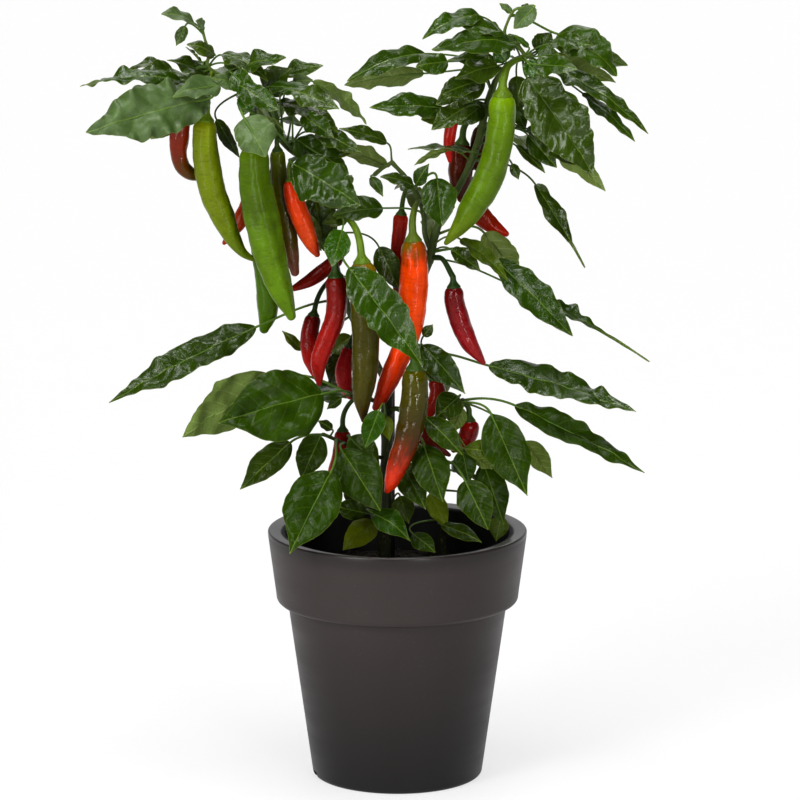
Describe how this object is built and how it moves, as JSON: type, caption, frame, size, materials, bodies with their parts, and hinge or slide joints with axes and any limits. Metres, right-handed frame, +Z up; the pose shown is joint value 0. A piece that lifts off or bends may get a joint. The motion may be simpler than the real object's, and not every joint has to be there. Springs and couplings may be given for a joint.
{
  "type": "potted chilli pepper plant",
  "caption": "Chilli pepper plant in a round tapered plastic pot with a deep rim band, potting soil, a thin stake, branching stems, pointed leaves and long hanging pods in several colours.",
  "frame": {"origin": "centre of the pot's foot ring, on the floor", "axes": "+Z up along the pot's axis, -Y towards the viewer of the picture, +X to that viewer's right"},
  "size_m": [0.4297, 0.2042, 0.601],
  "materials": {
    "pot_plastic": "satin, dark grey-brown",
    "soil": "loose dark potting soil",
    "stake_black": "glossy black rod",
    "stem": "green-brown bark with leaves",
    "leaf": "satin leaf",
    "pod_green": "glossy skin",
    "pod_olive": "glossy skin",
    "pod_orange": "glossy skin",
    "pod_red": "glossy skin"
  },
  "bodies": {
    "root": {"pot": "pot_plastic", "soil": "soil", "stake": "stake_black", "main_stem": "stem", "second_stem": "stem", "left_branch": "leaf", "left_crown": "leaf", "upper_branch": "leaf", "right_branch": "leaf", "right_crown": "leaf", "mid_left_shoot": "leaf", "mid_right_shoot": "leaf", "lower_left_shoot": "leaf", "pod_lime_left": "pod_green", "pod_green_ridged": "pod_green", "pod_green_blunt": "pod_green", "pod_amber_hook": "pod_orange", "pod_red_back_left": "pod_red", "pod_brown": "pod_olive", "pod_orange_left": "pod_orange", "pod_red_slant": "pod_red", "pod_red_long": "pod_red", "pod_red_left_low": "pod_red", "pod_crimson_mid": "pod_red", "pod_olive_long": "pod_olive", "pod_orange_long": "pod_orange", "pod_olive_red_front": "pod_olive", "pod_crimson_right": "pod_red", "pod_lime_right": "pod_green", "pod_red_small": "pod_red", "pod_maroon": "pod_red", "pod_red_behind": "pod_red", "pod_brown_small": "pod_olive", "pod_red_crumpled": "pod_red", "pod_red_low_left": "pod_red", "pod_red_inner": "pod_red", "pod_maroon_low": "pod_red", "pod_red_glossy": "pod_red"}
  },
  "joints": []
}
